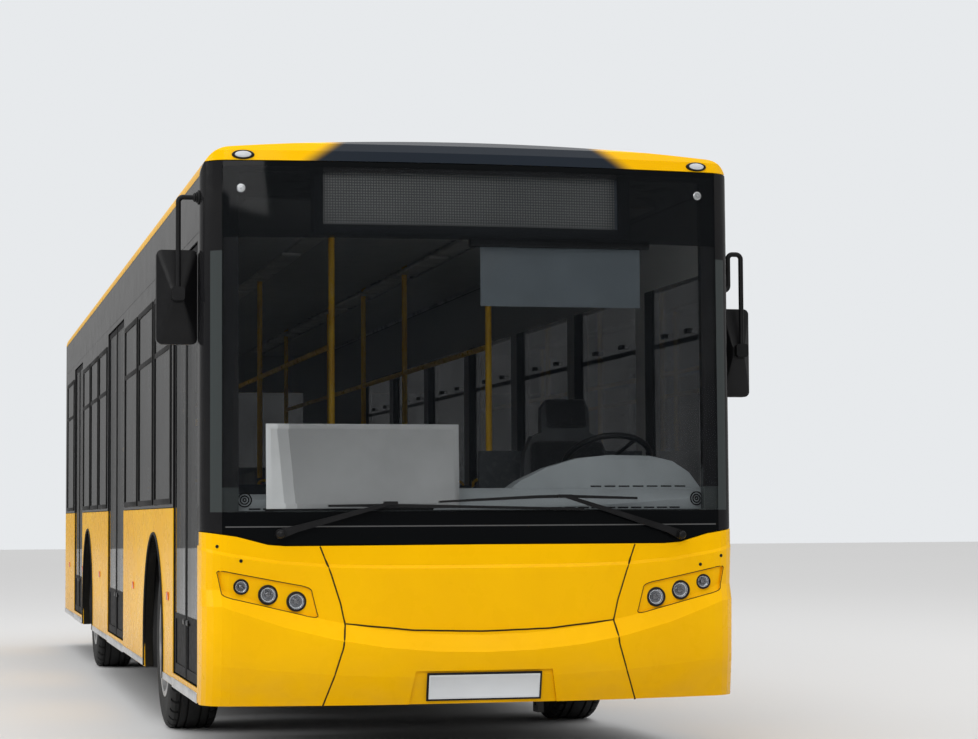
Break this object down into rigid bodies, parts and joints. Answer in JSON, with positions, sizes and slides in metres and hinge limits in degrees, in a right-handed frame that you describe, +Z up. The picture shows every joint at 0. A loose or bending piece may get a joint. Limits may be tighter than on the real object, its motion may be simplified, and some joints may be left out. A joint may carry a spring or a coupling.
{
  "type": "city bus",
  "caption": "Low-floor single-deck city bus with inward-gliding double doors along one side, raked mask front, mirrors, seats and steered front wheels.",
  "frame": {"origin": "on the ground below the middle of the bus's bounding box", "axes": "+Z up, the front faces -Y, +X is the driver's side and the doors are at -X"},
  "size_m": [2.921, 11.99, 2.95],
  "materials": {
    "yellow_paint": "gloss",
    "black_paint": "gloss",
    "clear_glass": "clear",
    "dark_glass": "tinted",
    "lamp_glass": "clear",
    "red_lens": "gloss",
    "black_plastic": "grained",
    "dash_grey": "grained",
    "lining": "matt",
    "floor_cover": "speckled",
    "seat_fabric": "woven",
    "pole_yellow": "gloss",
    "galvanised": "satin",
    "chassis_black": "matt",
    "cast_iron": "rough",
    "rim_silver": "satin",
    "tyre": "matt"
  },
  "bodies": {
    "body": {"dashboard": "dash_grey", "destination_display": "black_plastic", "door_rails": "galvanised", "driver_partition": "dark_glass", "driver_seat": "seat_fabric", "engine_block": "cast_iron", "engine_hatch": "yellow_paint", "floor": "floor_cover", "front_apron": "chassis_black", "front_axle": "chassis_black", "front_bumper": "yellow_paint", "front_corners": "yellow_paint", "front_cowl": "yellow_paint", "front_frame": "black_paint", "front_hatch": "yellow_paint", "grab_poles": "pole_yellow", "headlamps": "lamp_glass", "inner_boxes": "lining", "left_lower_wall": "yellow_paint", "left_upper_wall": "black_paint", "mirrors": "black_plastic", "rear_axle": "cast_iron", "rear_wall": "yellow_paint", "right_lower_wall": "yellow_paint", "right_upper_wall": "black_paint", "roof": "yellow_paint", "saloon_glass": "dark_glass", "seats": "seat_fabric", "tail_lamps": "red_lens", "windscreen": "clear_glass", "wipers": "black_plastic"},
    "knuckle_left": {"knuckle_left": "cast_iron"},
    "wheel_front_left": {"tyre_front_left": "tyre", "rim_front_left": "rim_silver"},
    "wheel_rear_left": {"tyre_rear_left": "tyre", "rim_rear_left": "rim_silver"},
    "knuckle_right": {"knuckle_right": "cast_iron"},
    "wheel_front_right": {"tyre_front_right": "tyre", "rim_front_right": "rim_silver"},
    "wheel_rear_right": {"tyre_rear_right": "tyre", "rim_rear_right": "rim_silver"},
    "steering_wheel": {"steering_wheel": "black_plastic"},
    "post_front_fore": {"door_front_fore_post": "galvanised"},
    "leaf_front_fore": {"door_front_fore_leaf": "black_paint", "door_front_fore_glass": "dark_glass"},
    "post_front_aft": {"door_front_aft_post": "galvanised"},
    "leaf_front_aft": {"door_front_aft_leaf": "black_paint", "door_front_aft_glass": "dark_glass"},
    "post_middle_fore": {"door_middle_fore_post": "galvanised"},
    "leaf_middle_fore": {"door_middle_fore_leaf": "black_paint", "door_middle_fore_glass": "dark_glass"},
    "post_middle_aft": {"door_middle_aft_post": "galvanised"},
    "leaf_middle_aft": {"door_middle_aft_leaf": "black_paint", "door_middle_aft_glass": "dark_glass"},
    "post_rear_fore": {"door_rear_fore_post": "galvanised"},
    "leaf_rear_fore": {"door_rear_fore_leaf": "black_paint", "door_rear_fore_glass": "dark_glass"},
    "post_rear_aft": {"door_rear_aft_post": "galvanised"},
    "leaf_rear_aft": {"door_rear_aft_leaf": "black_paint", "door_rear_aft_glass": "dark_glass"}
  },
  "joints": [
    {"name": "steer_left", "type": "hinge", "parent": "body", "child": "knuckle_left", "pos_m": [0.905, -3.295, 0.479], "axis": [0, 0, 1], "range_deg": [-42, 42]},
    {"name": "steer_right", "type": "hinge", "parent": "body", "child": "knuckle_right", "pos_m": [-0.905, -3.295, 0.479], "axis": [0, 0, 1], "range_deg": [-42, 42]},
    {"name": "steering_wheel_turn", "type": "hinge", "parent": "body", "child": "steering_wheel", "pos_m": [0.76, -5.355, 1.42], "axis": [0, 0.5736, 0.8192], "range_deg": [-630, 630]},
    {"name": "spin_front_left", "type": "hinge", "parent": "knuckle_left", "child": "wheel_front_left", "pos_m": [1.08, -3.295, 0.479], "axis": [1, 0, 0], "continuous": true},
    {"name": "spin_rear_left", "type": "hinge", "parent": "body", "child": "wheel_rear_left", "pos_m": [1.08, 2.555, 0.479], "axis": [1, 0, 0], "continuous": true},
    {"name": "spin_front_right", "type": "hinge", "parent": "knuckle_right", "child": "wheel_front_right", "pos_m": [-1.08, -3.295, 0.479], "axis": [1, 0, 0], "continuous": true},
    {"name": "spin_rear_right", "type": "hinge", "parent": "body", "child": "wheel_rear_right", "pos_m": [-1.08, 2.555, 0.479], "axis": [1, 0, 0], "continuous": true},
    {"name": "door_front_swing", "type": "hinge", "parent": "body", "child": "post_front_fore", "pos_m": [-1.203, -5.612, 1.4], "axis": [0, 0, -1], "range_deg": [0, 80]},
    {"name": "door_front_turn_fore", "type": "hinge", "parent": "post_front_fore", "child": "leaf_front_fore", "pos_m": [-1.203, -5.33725, 1.4], "axis": [0, 0, -1], "range_deg": [-160, 0]},
    {"name": "door_front_swing_aft", "type": "hinge", "parent": "body", "child": "post_front_aft", "pos_m": [-1.203, -4.388, 1.4], "axis": [0, 0, 1], "range_deg": [0, 80]},
    {"name": "door_front_turn_aft", "type": "hinge", "parent": "post_front_aft", "child": "leaf_front_aft", "pos_m": [-1.203, -4.66275, 1.4], "axis": [0, 0, 1], "range_deg": [-160, 0]},
    {"name": "door_middle_swing", "type": "hinge", "parent": "body", "child": "post_middle_fore", "pos_m": [-1.203, -1.127, 1.4], "axis": [0, 0, -1], "range_deg": [0, 80]},
    {"name": "door_middle_turn_fore", "type": "hinge", "parent": "post_middle_fore", "child": "leaf_middle_fore", "pos_m": [-1.203, -0.78725, 1.4], "axis": [0, 0, -1], "range_deg": [-160, 0]},
    {"name": "door_middle_swing_aft", "type": "hinge", "parent": "body", "child": "post_middle_aft", "pos_m": [-1.203, 0.357, 1.4], "axis": [0, 0, 1], "range_deg": [0, 80]},
    {"name": "door_middle_turn_aft", "type": "hinge", "parent": "post_middle_aft", "child": "leaf_middle_aft", "pos_m": [-1.203, 0.01725, 1.4], "axis": [0, 0, 1], "range_deg": [-160, 0]},
    {"name": "door_rear_swing", "type": "hinge", "parent": "body", "child": "post_rear_fore", "pos_m": [-1.203, 3.283, 1.4], "axis": [0, 0, -1], "range_deg": [0, 80]},
    {"name": "door_rear_turn_fore", "type": "hinge", "parent": "post_rear_fore", "child": "leaf_rear_fore", "pos_m": [-1.203, 3.54525, 1.4], "axis": [0, 0, -1], "range_deg": [-160, 0]},
    {"name": "door_rear_swing_aft", "type": "hinge", "parent": "body", "child": "post_rear_aft", "pos_m": [-1.203, 4.457, 1.4], "axis": [0, 0, 1], "range_deg": [0, 80]},
    {"name": "door_rear_turn_aft", "type": "hinge", "parent": "post_rear_aft", "child": "leaf_rear_aft", "pos_m": [-1.203, 4.19475, 1.4], "axis": [0, 0, 1], "range_deg": [-160, 0]}
  ],
  "couplings": [
    {"joint": "steer_right", "follows": "steer_left", "ratio": 1},
    {"joint": "steering_wheel_turn", "follows": "steer_left", "ratio": 15},
    {"joint": "door_front_turn_fore", "follows": "door_front_swing", "ratio": -2},
    {"joint": "door_front_swing_aft", "follows": "door_front_swing", "ratio": 1},
    {"joint": "door_front_turn_aft", "follows": "door_front_swing", "ratio": -2},
    {"joint": "door_middle_turn_fore", "follows": "door_middle_swing", "ratio": -2},
    {"joint": "door_middle_swing_aft", "follows": "door_middle_swing", "ratio": 1},
    {"joint": "door_middle_turn_aft", "follows": "door_middle_swing", "ratio": -2},
    {"joint": "door_rear_turn_fore", "follows": "door_rear_swing", "ratio": -2},
    {"joint": "door_rear_swing_aft", "follows": "door_rear_swing", "ratio": 1},
    {"joint": "door_rear_turn_aft", "follows": "door_rear_swing", "ratio": -2}
  ]
}
